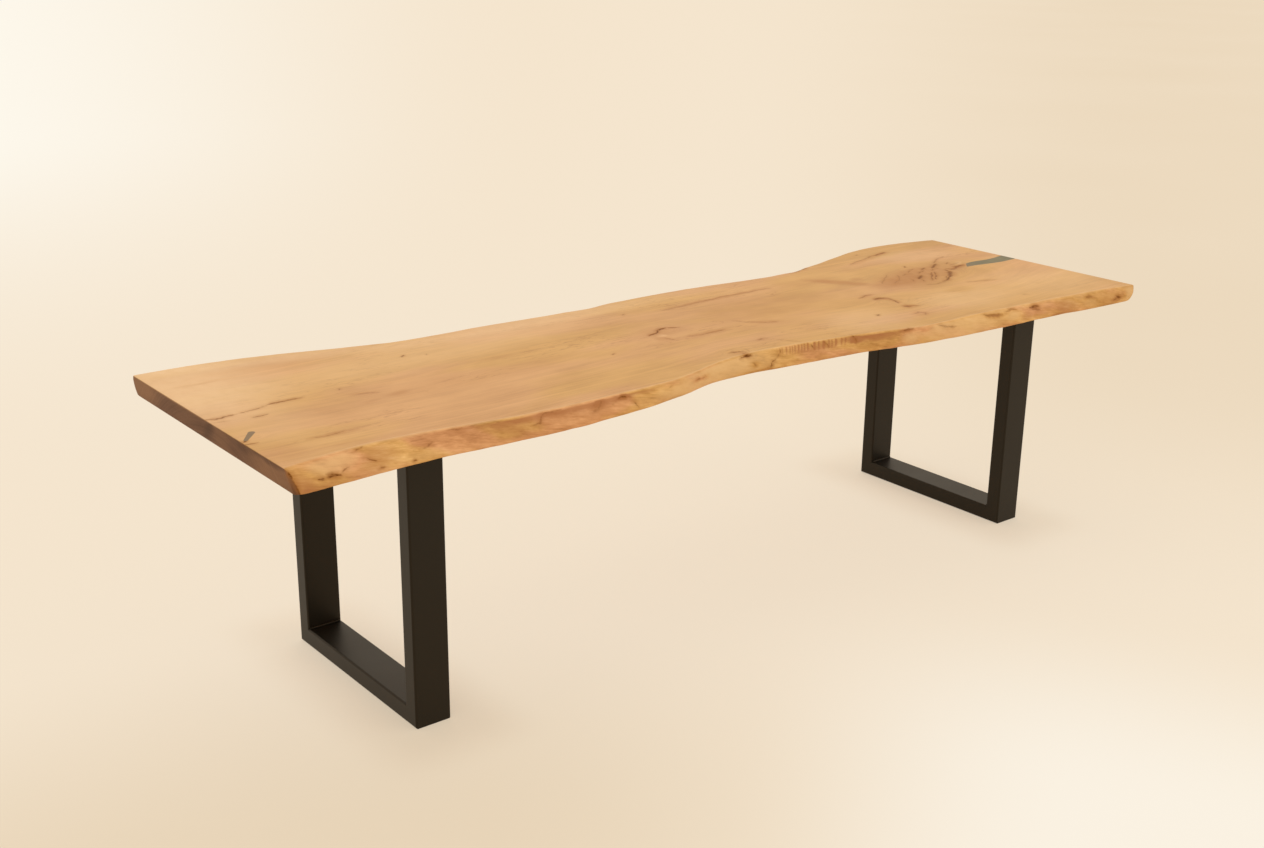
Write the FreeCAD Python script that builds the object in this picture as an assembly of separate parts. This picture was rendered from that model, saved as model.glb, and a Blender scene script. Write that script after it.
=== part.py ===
# Live edge dining table: one natural-edged slab of wood on two welded U-frames of rectangular tube.
#
# Frame: millimetres, +X along the grain towards the end with the long resin fill, +Y to the back edge,
# +Z up. The origin is on the floor under the middle of the table's box.
import FreeCAD, Part
import math
import os

Vector = FreeCAD.Vector

# ---- Driving dimensions ----------------------------------------------------------------------------

# Whole table
TABLE_HEIGHT = 760.0
SLAB_LENGTH = 2880.0
SLAB_THICKNESS = 50.0

# Natural edges: distance of each edge from the slab's centre plane, at evenly spaced stations from the
# left end to the right end. The under values are those of the lower face, where the trunk was wider or
# narrower than at the top face.
FRONT_TOP = [373, 342, 346, 370, 382, 379, 369, 319, 304, 325, 355, 393, 392, 399, 408, 418, 447]
FRONT_UNDER = [420, 408, 399, 408, 412, 400, 373, 330, 335, 349, 369, 400, 415, 423, 426, 440, 448]
BACK_TOP = [453, 449, 419, 371, 337, 337, 330, 325, 335, 338, 328, 309, 320, 368, 415, 419, 382]
BACK_UNDER = [436, 421, 392, 352, 322, 324, 320, 313, 321, 325, 318, 304, 312, 352, 392, 396, 366]
EDGE_BELLY = 9.0
EDGE_BANDS = 4
LEFT_END_UNDERCUT = 1.5
RIGHT_END_UNDERCUT = 22.0
TOP_EASING = 2.0
UNDER_EASING = 4.0

# Resin fills, in plan, measured from the slab's right end and from its left end
RIVER_FAR_BANK = [(-200, 62), (-145, 68), (-95, 63), (-20, 71), (30, 78)]
RIVER_NEAR_BANK = [(-232, 30), (-190, 27), (-120, 16), (-60, 11), (0, 18), (30, 22)]
RIVER_DEPTH = 24.0
KNOT_TIP = (13, -163)
KNOT_TIP_RADIUS = 5.0
KNOT_HEAD = (46, -122)
KNOT_HEAD_RADIUS = 8.0
KNOT_DEPTH = 15.0

# Leg frames
LEFT_OVERHANG = 326.5
RIGHT_OVERHANG = 303.5
FRAME_CENTRE_Y = -12.0
FRAME_WIDTH = 600.0
TUBE_WIDTH = 97.0
TUBE_DEPTH = 48.0
TUBE_WALL = 3.0
TUBE_CORNER_RADIUS = 5.0
CORNER_WELD_LEG = 5.0
PLATE_WELD_LEG = 4.0
WELD_CROWN_SHARE = 0.56  # where a bead's middle lies along each leg: 0.5 would be flat

# Top plates
PLATE_WIDTH = 112.0
PLATE_THICKNESS = 6.0
PLATE_CORNER_RADIUS = 8.0
SLOT_WIDTH = 9.0
SLOT_TRAVEL = 8.0

# Fasteners: M8 bolts in threaded inserts, four to a frame
BOLT_COLUMN_SPACING = 60.0
BOLT_ROW_SPACING = 380.0
BOLT_DIAMETER = 8.0
BOLT_LENGTH = 25.0
BOLT_HEAD_ACROSS_FLATS = 13.0
BOLT_HEAD_HEIGHT = 5.3
WASHER_DIAMETER = 24.0
WASHER_THICKNESS = 2.0
WASHER_CLEARANCE = 0.2
INSERT_DIAMETER = 12.0
INSERT_LENGTH = 20.0
THREAD_CLEARANCE = 0.1
INSERT_HOLE_EXTRA_DEPTH = 4.0

# Floor glides under the rails
GLIDE_WIDTH = 70.0
GLIDE_LENGTH = 60.0
GLIDE_THICKNESS = 1.5
GLIDE_END_INSET = 20.0

# ---- Levels and places worked out from them --------------------------------------------------------

SLAB_TOP = TABLE_HEIGHT
SLAB_UNDERSIDE = SLAB_TOP - SLAB_THICKNESS
PLATE_UNDERSIDE = SLAB_UNDERSIDE - PLATE_THICKNESS
BOLT_SEAT = PLATE_UNDERSIDE - WASHER_THICKNESS
FRAME_FOOT = GLIDE_THICKNESS
RAIL_TOP = FRAME_FOOT + TUBE_DEPTH
HALF_LENGTH = SLAB_LENGTH / 2
LEFT_FRAME_X = -HALF_LENGTH + LEFT_OVERHANG + TUBE_WIDTH / 2
RIGHT_FRAME_X = HALF_LENGTH - RIGHT_OVERHANG - TUBE_WIDTH / 2
FRONT_FACE_Y = FRAME_CENTRE_Y - FRAME_WIDTH / 2
BACK_FACE_Y = FRAME_CENTRE_Y + FRAME_WIDTH / 2


def export(node, shape):
    """Write one sub-part's STEP file."""
    shape.exportStep(os.path.join("parts", node + ".step"))


def moved(shape, x, y, z):
    """A copy of the shape, shifted."""
    copy = shape.copy()
    copy.translate(Vector(x, y, z))
    return copy


# ---- Slab ------------------------------------------------------------------------------------------

def natural_edge(widths, side, left_x, right_x, z):
    """One live edge at one level: a smooth curve through evenly spaced stations, left to right."""
    pitch = (right_x - left_x) / (len(widths) - 1)
    points = [Vector(left_x + pitch * i, side * width, z) for i, width in enumerate(widths)]
    curve = Part.BSplineCurve()
    curve.interpolate(points)
    return curve


def slab_outline(front_widths, back_widths, left_x, right_x, z):
    """The slab's closed outline at one level: front edge, right end, back edge, left end."""
    front = natural_edge(front_widths, -1, left_x, right_x, z)
    back = natural_edge(back_widths, 1, left_x, right_x, z)
    right_end = Part.makeLine(front.EndPoint, back.EndPoint)
    left_end = Part.makeLine(back.StartPoint, front.StartPoint)
    back_edge = back.toShape()
    back_edge.reverse()
    return Part.Wire([front.toShape(), right_end, back_edge, left_end])


def edge_profile():
    """Depth and inset of each outline down the edge: eased at both faces, and even bands between."""
    band = (SLAB_THICKNESS - TOP_EASING - UNDER_EASING) / EDGE_BANDS
    flank = [(TOP_EASING + band * i, 0) for i in range(EDGE_BANDS + 1)]
    return [(0, TOP_EASING)] + flank + [(SLAB_THICKNESS, UNDER_EASING)]


def edge_widths(top_widths, under_widths, share, inset):
    """Edge distances at a share of the thickness, standing proud of the straight line by the belly."""
    belly = EDGE_BELLY * 4 * share * (1 - share)
    return [top + (under - top) * share + belly - inset for top, under in zip(top_widths, under_widths)]


def sawn_slab():
    """The sawn and planed slab: outlines joined band by band from the top face to the lower face."""
    outlines = []
    for depth, inset in edge_profile():
        share = depth / SLAB_THICKNESS
        front = edge_widths(FRONT_TOP, FRONT_UNDER, share, inset)
        back = edge_widths(BACK_TOP, BACK_UNDER, share, inset)
        lean = max(depth - TOP_EASING, 0) / (SLAB_THICKNESS - TOP_EASING)
        left_x = -HALF_LENGTH + LEFT_END_UNDERCUT * lean + inset
        right_x = HALF_LENGTH - RIGHT_END_UNDERCUT * lean - inset
        outlines.append(slab_outline(front, back, left_x, right_x, SLAB_TOP - depth))
    return Part.makeLoft(outlines, True, True)


def bank(points):
    """One side of the long fill: a smooth curve through points measured from the slab's right end."""
    curve = Part.BSplineCurve()
    curve.interpolate([Vector(HALF_LENGTH + x, y, SLAB_TOP + TOP_EASING) for x, y in points])
    return curve


def river_prism():
    """The space of the long resin fill: it narrows away from the right end, where it opens."""
    far = bank(RIVER_FAR_BANK)
    near = bank(RIVER_NEAR_BANK)
    mouth = Part.makeLine(far.EndPoint, near.EndPoint)
    tip = Part.makeLine(near.StartPoint, far.StartPoint)
    near_edge = near.toShape()
    near_edge.reverse()
    face = Part.Face(Part.Wire([far.toShape(), mouth, near_edge, tip]))
    return face.extrude(Vector(0, 0, -(RIVER_DEPTH + TOP_EASING)))


def knot_prism():
    """The space of the small resin fill: a tapered slot with a round head, close to the left end."""
    tip = Vector(-HALF_LENGTH + KNOT_TIP[0], KNOT_TIP[1], SLAB_TOP + TOP_EASING)
    head = Vector(-HALF_LENGTH + KNOT_HEAD[0], KNOT_HEAD[1], SLAB_TOP + TOP_EASING)
    along = (head - tip).normalize()
    # The two flanks touch both circles, so their points lie at this angle either side of the axis.
    lean = math.acos((KNOT_TIP_RADIUS - KNOT_HEAD_RADIUS) / (head - tip).Length)
    heading = math.atan2(along.y, along.x)

    def on_circle(centre, radius, angle):
        return centre + Vector(math.cos(angle), math.sin(angle), 0) * radius

    left = heading + lean
    right = heading - lean
    tip_left = on_circle(tip, KNOT_TIP_RADIUS, left)
    tip_right = on_circle(tip, KNOT_TIP_RADIUS, right)
    head_left = on_circle(head, KNOT_HEAD_RADIUS, left)
    head_right = on_circle(head, KNOT_HEAD_RADIUS, right)
    tip_end = on_circle(tip, KNOT_TIP_RADIUS, heading + math.pi)
    head_end = on_circle(head, KNOT_HEAD_RADIUS, heading)
    edges = [
        Part.makeLine(tip_right, head_right),
        Part.Arc(head_right, head_end, head_left).toShape(),
        Part.makeLine(head_left, tip_left),
        Part.Arc(tip_left, tip_end, tip_right).toShape(),
    ]
    return Part.Face(Part.Wire(edges)).extrude(Vector(0, 0, -(KNOT_DEPTH + TOP_EASING)))


# ---- Where the fasteners go ------------------------------------------------------------------------

def bolt_places(frame_x):
    """Centres of one frame's four bolts, in plan."""
    return [(frame_x + column * BOLT_COLUMN_SPACING / 2, FRAME_CENTRE_Y + row * BOLT_ROW_SPACING / 2)
            for row in (-1, 1) for column in (-1, 1)]


def insert_hole(x, y):
    """A blind hole for one threaded insert, up from the slab's underside."""
    return Part.makeCylinder(INSERT_DIAMETER / 2, INSERT_LENGTH + INSERT_HOLE_EXTRA_DEPTH,
                             Vector(x, y, SLAB_UNDERSIDE))


# ---- Welded frames ---------------------------------------------------------------------------------

def rounded_rectangle(width, depth, radius):
    """A closed wire about the origin in the XY plane."""
    x = width / 2
    y = depth / 2
    wire = Part.makePolygon([Vector(-x, -y, 0), Vector(x, -y, 0), Vector(x, y, 0), Vector(-x, y, 0),
                             Vector(-x, -y, 0)])
    prism = Part.Face(wire).extrude(Vector(0, 0, 1))
    upright = [edge for edge in prism.Edges if edge.Vertexes[0].Z != edge.Vertexes[1].Z]
    rounded = prism.makeFillet(radius, upright)
    foot = min(rounded.Faces, key=lambda face: face.CenterOfMass.z)
    return foot.OuterWire


def tube(length):
    """Rectangular steel tube standing on the XY plane, with rolled corners and its bore."""
    outer = rounded_rectangle(TUBE_WIDTH, TUBE_DEPTH, TUBE_CORNER_RADIUS)
    bore_width = TUBE_WIDTH - 2 * TUBE_WALL
    bore_depth = TUBE_DEPTH - 2 * TUBE_WALL
    bore = Part.makeBox(bore_width, bore_depth, length, Vector(-bore_width / 2, -bore_depth / 2, 0))
    return Part.Face(outer).extrude(Vector(0, 0, length)).cut(bore)


def mitre_wedge(side, above):
    """One half of the square where a post meets the rail, split along the mitre.

    side is -1 at the front corner and 1 at the back corner. above picks the rail's waste, over the
    mitre, and otherwise the post's waste, under it.
    """
    outer = FRAME_CENTRE_Y + side * FRAME_WIDTH / 2
    inner = outer - side * TUBE_DEPTH
    spare = outer + side * TUBE_DEPTH
    mitre_low = Vector(0, outer, FRAME_FOOT)
    mitre_high = Vector(0, inner, RAIL_TOP)
    if above:
        corners = [mitre_low, mitre_high, Vector(0, spare, RAIL_TOP), Vector(0, spare, FRAME_FOOT)]
    else:
        corners = [mitre_low, mitre_high, Vector(0, inner, FRAME_FOOT)]
    face = Part.Face(Part.makePolygon(corners + corners[:1]))
    return moved(face.extrude(Vector(TUBE_WIDTH, 0, 0)), -TUBE_WIDTH / 2, 0, 0)


def frame_post(side):
    """An upright of the U-frame, mitred at its foot and square under the top plate."""
    upright = tube(PLATE_UNDERSIDE - FRAME_FOOT)
    centre_y = FRAME_CENTRE_Y + side * (FRAME_WIDTH - TUBE_DEPTH) / 2
    return moved(upright, 0, centre_y, FRAME_FOOT).cut(mitre_wedge(side, False))


def bottom_rail():
    """The U-frame's foot rail, lying flat and mitred at both ends."""
    rail = tube(FRAME_WIDTH)
    rail.rotate(Vector(0, 0, 0), Vector(1, 0, 0), -90)
    rail = moved(rail, 0, FRONT_FACE_Y, FRAME_FOOT + TUBE_DEPTH / 2)
    for side in (-1, 1):
        rail = rail.cut(mitre_wedge(side, True))
    return rail


def fillet_weld(leg, length):
    """A weld bead along +X from the origin, in the corner that opens towards +Y and +Z."""
    crown = leg * WELD_CROWN_SHARE
    foot = Vector(0, leg, 0)
    head = Vector(0, 0, leg)
    edges = [
        Part.makeLine(Vector(0, 0, 0), foot),
        Part.Arc(foot, Vector(0, crown, crown), head).toShape(),
        Part.makeLine(head, Vector(0, 0, 0)),
    ]
    return Part.Face(Part.Wire(edges)).extrude(Vector(length, 0, 0))


def turned(shape, axis, angle):
    """A copy of the shape, turned about an axis through the origin."""
    copy = shape.copy()
    copy.rotate(Vector(0, 0, 0), axis, angle)
    return copy


def corner_welds():
    """The two beads inside the U, where the posts meet the rail's top face."""
    length = TUBE_WIDTH - 2 * TUBE_CORNER_RADIUS
    bead = moved(fillet_weld(CORNER_WELD_LEG, length), -length / 2, 0, 0)
    front = moved(bead, 0, FRONT_FACE_Y + TUBE_DEPTH, RAIL_TOP)
    back = moved(turned(bead, Vector(0, 0, 1), 180), 0, BACK_FACE_Y - TUBE_DEPTH, RAIL_TOP)
    return Part.makeCompound([front, back])


def hanging(bead, length):
    """A bead centred on the origin and turned to hang in the corner that opens towards +Y and -Z."""
    return turned(moved(bead, -length / 2, 0, 0), Vector(1, 0, 0), -90)


def plate_welds():
    """Beads under the top plate, along the inner face and the two narrow faces of each post."""
    across = TUBE_WIDTH - 2 * TUBE_CORNER_RADIUS
    along = TUBE_DEPTH - 2 * TUBE_CORNER_RADIUS
    upright = Vector(0, 0, 1)
    inner_bead = hanging(fillet_weld(PLATE_WELD_LEG, across), across)
    side_bead = hanging(fillet_weld(PLATE_WELD_LEG, along), along)
    beads = []
    for side in (-1, 1):
        inner_y = FRAME_CENTRE_Y + side * (FRAME_WIDTH / 2 - TUBE_DEPTH)
        middle_y = FRAME_CENTRE_Y + side * (FRAME_WIDTH - TUBE_DEPTH) / 2
        inner_turn = 0 if side < 0 else 180
        beads.append(moved(turned(inner_bead, upright, inner_turn), 0, inner_y, PLATE_UNDERSIDE))
        for flank in (-1, 1):
            bead = turned(side_bead, upright, -90 * flank)
            beads.append(moved(bead, flank * TUBE_WIDTH / 2, middle_y, PLATE_UNDERSIDE))
    return Part.makeCompound(beads)


def plate_slot(x, y):
    """The space of a slot across the grain, which lets the slab swell and shrink."""
    radius = SLOT_WIDTH / 2
    near = Part.makeCylinder(radius, PLATE_THICKNESS, Vector(x, y - SLOT_TRAVEL / 2, PLATE_UNDERSIDE))
    far = moved(near, 0, SLOT_TRAVEL, 0)
    middle = Part.makeBox(SLOT_WIDTH, SLOT_TRAVEL, PLATE_THICKNESS,
                          Vector(x - radius, y - SLOT_TRAVEL / 2, PLATE_UNDERSIDE))
    return near.fuse([far, middle]).removeSplitter()


def top_plate():
    """The flat steel plate across the tops of both posts, with a slot for each bolt."""
    outline = rounded_rectangle(PLATE_WIDTH, FRAME_WIDTH, PLATE_CORNER_RADIUS)
    blank = Part.Face(outline).extrude(Vector(0, 0, PLATE_THICKNESS))
    plate = moved(blank, 0, FRAME_CENTRE_Y, PLATE_UNDERSIDE)
    return plate.cut([plate_slot(x, y) for x, y in bolt_places(0)])


def floor_glides():
    """Two thin pads under the rail, near its ends."""
    reach = FRAME_WIDTH / 2 - GLIDE_END_INSET - GLIDE_LENGTH / 2
    pads = [Part.makeBox(GLIDE_WIDTH, GLIDE_LENGTH, GLIDE_THICKNESS,
                         Vector(-GLIDE_WIDTH / 2, FRAME_CENTRE_Y + side * reach - GLIDE_LENGTH / 2, 0))
            for side in (-1, 1)]
    return Part.makeCompound(pads)


# ---- Fasteners -------------------------------------------------------------------------------------

def hex_bolt():
    """A bolt with its head's seat at the origin and its shank up +Z."""
    radius = BOLT_HEAD_ACROSS_FLATS / 2 / math.cos(math.pi / 6)
    corners = [Vector(radius * math.cos(math.pi / 3 * i), radius * math.sin(math.pi / 3 * i), 0)
               for i in range(7)]
    head = Part.Face(Part.makePolygon(corners)).extrude(Vector(0, 0, -BOLT_HEAD_HEIGHT))
    shank = Part.makeCylinder(BOLT_DIAMETER / 2, BOLT_LENGTH)
    return head.fuse(shank)


def ring(outer_diameter, bore_diameter, height):
    """A plain ring standing on the XY plane."""
    bore = Part.makeCylinder(bore_diameter / 2, height)
    return Part.makeCylinder(outer_diameter / 2, height).cut(bore)


def at_each_bolt(shape, frame_x, z):
    """One copy of a fastener at each of a frame's bolt places."""
    return Part.makeCompound([moved(shape, x, y, z) for x, y in bolt_places(frame_x)])


# ---- Assembly --------------------------------------------------------------------------------------

def build_slab():
    """The slab with its pockets and insert holes, and the resin that fills the pockets flush."""
    block = sawn_slab()
    river = river_prism()
    knot = knot_prism()
    export("epoxy_river_fill", block.common(river))
    export("epoxy_knot_fill", block.common(knot))
    block = block.cut([river, knot])
    for frame_x in (LEFT_FRAME_X, RIGHT_FRAME_X):
        block = block.cut([insert_hole(x, y) for x, y in bolt_places(frame_x)])
    export("live_edge_slab", block)


def build_leg(name, frame_x):
    """One welded leg frame with its glides and fasteners."""
    export(name + "_front_post", moved(frame_post(-1), frame_x, 0, 0))
    export(name + "_back_post", moved(frame_post(1), frame_x, 0, 0))
    export(name + "_bottom_rail", moved(bottom_rail(), frame_x, 0, 0))
    export(name + "_corner_welds", moved(corner_welds(), frame_x, 0, 0))
    export(name + "_top_plate", moved(top_plate(), frame_x, 0, 0))
    export(name + "_plate_welds", moved(plate_welds(), frame_x, 0, 0))
    export(name + "_floor_glides", moved(floor_glides(), frame_x, 0, 0))
    export(name + "_bolts", at_each_bolt(hex_bolt(), frame_x, BOLT_SEAT))
    washer = ring(WASHER_DIAMETER, BOLT_DIAMETER + 2 * WASHER_CLEARANCE, WASHER_THICKNESS)
    export(name + "_washers", at_each_bolt(washer, frame_x, BOLT_SEAT))
    insert = ring(INSERT_DIAMETER, BOLT_DIAMETER + 2 * THREAD_CLEARANCE, INSERT_LENGTH)
    export(name + "_threaded_inserts", at_each_bolt(insert, frame_x, SLAB_UNDERSIDE))


os.makedirs("parts", exist_ok=True)
build_slab()
build_leg("left_leg", LEFT_FRAME_X)
build_leg("right_leg", RIGHT_FRAME_X)
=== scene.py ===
# Live edge dining table: a natural-edged wooden slab with resin-filled cracks on two welded steel U-frames.
# Metres, +X along the grain, +Y to the back edge, +Z up, with the floor at zero.
import math
import bmesh
import bpy
import numpy as np
from mathutils import Matrix, Vector, noise


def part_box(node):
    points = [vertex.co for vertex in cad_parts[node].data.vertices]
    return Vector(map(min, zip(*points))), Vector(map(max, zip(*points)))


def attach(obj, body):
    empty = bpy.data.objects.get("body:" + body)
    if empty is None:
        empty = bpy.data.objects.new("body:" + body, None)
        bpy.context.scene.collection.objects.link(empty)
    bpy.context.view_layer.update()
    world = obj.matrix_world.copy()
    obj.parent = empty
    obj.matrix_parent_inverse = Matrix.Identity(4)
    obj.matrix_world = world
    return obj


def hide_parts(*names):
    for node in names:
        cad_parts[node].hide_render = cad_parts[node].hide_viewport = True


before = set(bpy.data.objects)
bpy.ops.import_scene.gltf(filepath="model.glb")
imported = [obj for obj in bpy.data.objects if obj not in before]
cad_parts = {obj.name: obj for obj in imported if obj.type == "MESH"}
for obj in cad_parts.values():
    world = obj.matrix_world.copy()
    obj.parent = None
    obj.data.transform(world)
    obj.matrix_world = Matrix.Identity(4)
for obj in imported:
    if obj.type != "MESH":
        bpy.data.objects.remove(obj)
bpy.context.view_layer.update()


# ---- Studio ------------------------------------------------------------------------------------------
# A seamless warm cream floor that runs on to the horizon, lit from all round by a pale room and by large
# soft boxes: one high up behind the table, a weaker one at each side and one in front.

def srgb(red, green, blue):
    """A colour given on the usual 0 to 255 scale, as a shader's linear colour."""
    levels = [value / 255 for value in (red, green, blue)]
    return [v / 12.92 if v < 0.04045 else ((v + 0.055) / 1.055) ** 2.4 for v in levels] + [1.0]


class Value:
    """One output in a material. Arithmetic on it adds Math nodes."""

    def __init__(self, finish, socket):
        self.finish = finish
        self.socket = socket

    def also(self, output):
        """Another output of the same node."""
        return Value(self.finish, self.socket.node.outputs[output])

    def __add__(self, other):
        return self.finish.maths("ADD", self, other)

    def __sub__(self, other):
        return self.finish.maths("SUBTRACT", self, other)

    def __rsub__(self, other):
        return self.finish.maths("SUBTRACT", other, self)

    def __mul__(self, other):
        return self.finish.maths("MULTIPLY", self, other)

    def __truediv__(self, other):
        return self.finish.maths("DIVIDE", self, other)

    def __pow__(self, other):
        return self.finish.maths("POWER", self, other)

    __radd__ = __add__
    __rmul__ = __mul__


class Finish:
    """A material, or the room, in the making. Each node comes from add(): settings, then sockets."""

    def __init__(self, name, kind=bpy.data.materials, shader="Principled BSDF"):
        self.material = kind.new(name)
        self.material.use_nodes = True
        self.nodes = self.material.node_tree.nodes
        self.shader = self.nodes[shader].inputs

    def fill(self, socket, value):
        if isinstance(value, Value):
            self.material.node_tree.links.new(value.socket, socket)
        else:
            socket.default_value = value

    def add(self, kind, settings, inputs, output=0):
        node = self.nodes.new("ShaderNode" + kind)
        for name, setting in settings.items():
            if name == "stops":
                node.color_ramp.elements.remove(node.color_ramp.elements[1])
                for place, colour in setting:
                    node.color_ramp.elements.new(place).color = colour
                node.color_ramp.elements.remove(node.color_ramp.elements[0])
            else:
                setattr(node, name, setting)
        for name, value in inputs.items():
            self.fill(node.inputs[name], value)
        return Value(self, node.outputs[output])

    def maths(self, operation, *operands):
        return self.add("Math", {"operation": operation}, dict(enumerate(operands)))

    def rise(self, value, low, high):
        """0 below low and 1 above high, with a smooth step between."""
        return self.add("MapRange", {"interpolation_type": "SMOOTHSTEP"}, {0: value, 1: low, 2: high})

    def blend(self, share, first, second, way="MIX"):
        """Two colours mixed."""
        return self.add("Mix", {"data_type": "RGBA", "blend_type": way}, {0: share, 6: first, 7: second}, 2)

    def clouds(self, place, scale, detail=3.0, roughness=0.5):
        """Soft noise. Three scales, one along each axis, draw it out into streaks or bands."""
        if isinstance(scale, tuple):
            place = self.add("VectorMath", {"operation": "MULTIPLY"}, {0: place, 1: scale})
            scale = 1.0
        return self.add("TexNoise", {}, {"Vector": place, "Scale": scale, "Detail": detail,
                                         "Roughness": roughness})

    def shares(self, name):
        """A number that the piece carries on its points."""
        return self.add("Attribute", {"attribute_name": name}, {}, "Fac")

    def relief(self, height, strength, distance):
        """Fine relief, with how far a height of 1 stands out, in metres."""
        bump = self.add("Bump", {}, {"Height": height, "Strength": strength, "Distance": distance})
        self.fill(self.shader["Normal"], bump)

    def seen(self):
        """1 for a ray that shows what lies behind the table: straight, in gloss or through glass."""
        straight = self.add("LightPath", {}, {}, "Is Camera Ray")
        return straight + straight.also("Is Glossy Ray") + straight.also("Is Transmission Ray")


def make_piece(name, mesh, body="root"):
    """A finished bmesh as an object that rides on the table."""
    data = bpy.data.meshes.new(name)
    mesh.to_mesh(data)
    mesh.free()
    piece = bpy.data.objects.new(name, data)
    bpy.context.scene.collection.objects.link(piece)
    if body:
        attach(piece, body)
    return piece


FLOOR_REACH = 90.0
FLOOR_DROP = 0.0002
ROOM_CORNER = (-2.75, -3.19)
RAIL_MIDDLES = (-1.065, 1.088)
FLOOR_MIDDLE = srgb(244, 229, 207)
FLOOR_PAINTED_GLOW = srgb(254, 250, 240)
FLOOR_PAINTED_SHADE = srgb(232, 213, 185)

floor_mesh = bmesh.new()
bmesh.ops.create_grid(floor_mesh, x_segments=24, y_segments=24, size=FLOOR_REACH)
bmesh.ops.translate(floor_mesh, verts=floor_mesh.verts, vec=(0, 0, -FLOOR_DROP))
floor = make_piece("studio_floor", floor_mesh, None)

paper = Finish("cream_paper")
spot = paper.add("TexCoord", {}, {}, "Object")
drift = paper.clouds(spot, 0.35, 2.0)
across = paper.add("SeparateXYZ", {}, {0: spot})
ahead = across.also("Y")
# How far round to the right of straight ahead, and how far away, a place lies, seen from the front left
# corner of the room
from_left = across - ROOM_CORNER[0]
from_front = ahead - ROOM_CORNER[1]
bearing = paper.maths("ARCTAN2", from_left, from_front)
far = (from_left ** 2 + from_front ** 2) ** 0.5
# The floor's colour carries painted light and shade: a painted glow far off to the left and near at the
# right, and painted shade in tan far off to the right and near at the left, beside the left leg. Every patch
# ends softly before the bearing wraps round behind that corner, and also close to the corner and near the
# horizon.
on_left = paper.rise(bearing, -2.4, -1.2)
on_right = 1 - paper.rise(bearing, 1.8, 2.8)
clear = paper.rise(far, 1.2, 2.7)
within = 1 - paper.rise(far, 32.0, 60.0)
left_glow = on_left * within * paper.rise(bearing * -1, -0.62, -0.22) * paper.rise(far, 4.5, 14.0)
right_painted_shade = on_right * within * paper.rise(bearing, 0.72, 1.0) * paper.rise(far, 4.0, 7.0)
near_glow = on_right * clear * paper.rise(bearing, 0.74, 1.0) * (1 - paper.rise(far, 3.2, 4.2))
near_painted_shade = on_left * clear * paper.rise(bearing * -1, -0.95, -0.55) * (1 - paper.rise(far, 2.8, 3.9))
# The floor's tone: painted shade in tan, then painted glows in pale cream
tone = paper.blend(right_painted_shade * (0.55 + 0.3 * drift), FLOOR_MIDDLE, FLOOR_PAINTED_SHADE)
tone = paper.blend(near_painted_shade * 0.9, tone, FLOOR_PAINTED_SHADE)
tone = paper.blend(left_glow * 0.95, tone, FLOOR_PAINTED_GLOW)
tone = paper.blend(near_glow * 0.6, tone, FLOOR_PAINTED_GLOW)
paper.fill(paper.shader["Base Color"], tone)
paper.shader["Roughness"].default_value = 0.95
paper.shader["Specular IOR Level"].default_value = 0.0
# What is seen of the paper keeps only part of the shadows, as under many soft boxes, and more of them right
# beside the two rails.
nearness = 0.0
for middle in RAIL_MIDDLES:
    beside = paper.maths("ABSOLUTE", across - middle)
    nearness = (1 - paper.rise(beside, 0.08, 0.26)) + nearness
nearness = nearness * (1 - paper.rise(ahead * ahead, 0.13, 0.30))
glow = paper.add("Emission", {}, {"Color": tone, "Strength": 1.0})
lit = Value(paper, paper.nodes["Principled BSDF"].outputs[0])
shown = paper.add("MixShader", {}, {0: paper.seen() * (0.80 - 0.24 * nearness), 1: lit, 2: glow})
paper.fill(paper.nodes["Material Output"].inputs[0], shown)
floor.data.materials.append(paper.material)

room = Finish("pale_room", bpy.data.worlds, "Background")
bpy.context.scene.world = room.material
room.fill(room.shader["Color"], room.blend(room.seen(), (0.62, 0.592, 0.546, 1.0), FLOOR_MIDDLE))


def soft_box(name, azimuth, elevation, strength, spread):
    """A very large, very soft lamp in the given direction, as a sun of wide angle."""
    lamp = bpy.data.lights.new(name, "SUN")
    lamp.energy = strength
    lamp.angle = math.radians(spread)
    lamp.color = (1.0, 0.97, 0.925)
    box = bpy.data.objects.new(name, lamp)
    tilt = Matrix.Rotation(math.radians(90 - elevation), 4, "X")
    box.matrix_world = Matrix.Rotation(math.radians(azimuth), 4, "Z") @ tilt
    bpy.context.scene.collection.objects.link(box)


soft_box("overhead_box", 165, 62, 0.85, 70)
soft_box("left_box", -75, 35, 0.35, 60)
soft_box("right_box", 70, 40, 0.3, 60)
soft_box("front_box", 10, 30, 0.3, 70)

CAMERA_PLACE = (-2.7518, -3.1868, 1.8904)
CAMERA_YAW = 0.6721
CAMERA_PITCH = 0.3270
CAMERA_ROLL = 0.0114
lens = bpy.data.cameras.new("camera")
lens.sensor_width = 36.0
lens.lens = 44.0
camera = bpy.data.objects.new("camera", lens)
aim = Matrix.Rotation(-CAMERA_YAW, 4, "Z") @ Matrix.Rotation(math.pi / 2 - CAMERA_PITCH, 4, "X")
camera.matrix_world = Matrix.Translation(CAMERA_PLACE) @ aim @ Matrix.Rotation(CAMERA_ROLL, 4, "Z")
bpy.context.scene.collection.objects.link(camera)
bpy.context.scene.camera = camera
bpy.context.scene.view_settings.view_transform = "Standard"


# ---- Slab --------------------------------------------------------------------------------------------
# One board sawn through the trunk, with both natural edges kept: the bark is off and the sapwood under it
# is brushed smooth. The ends are sawn, the faces planed, sanded and oiled, and pockets are routed out
# where the resin goes. Bolts from below hold it down.

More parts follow.
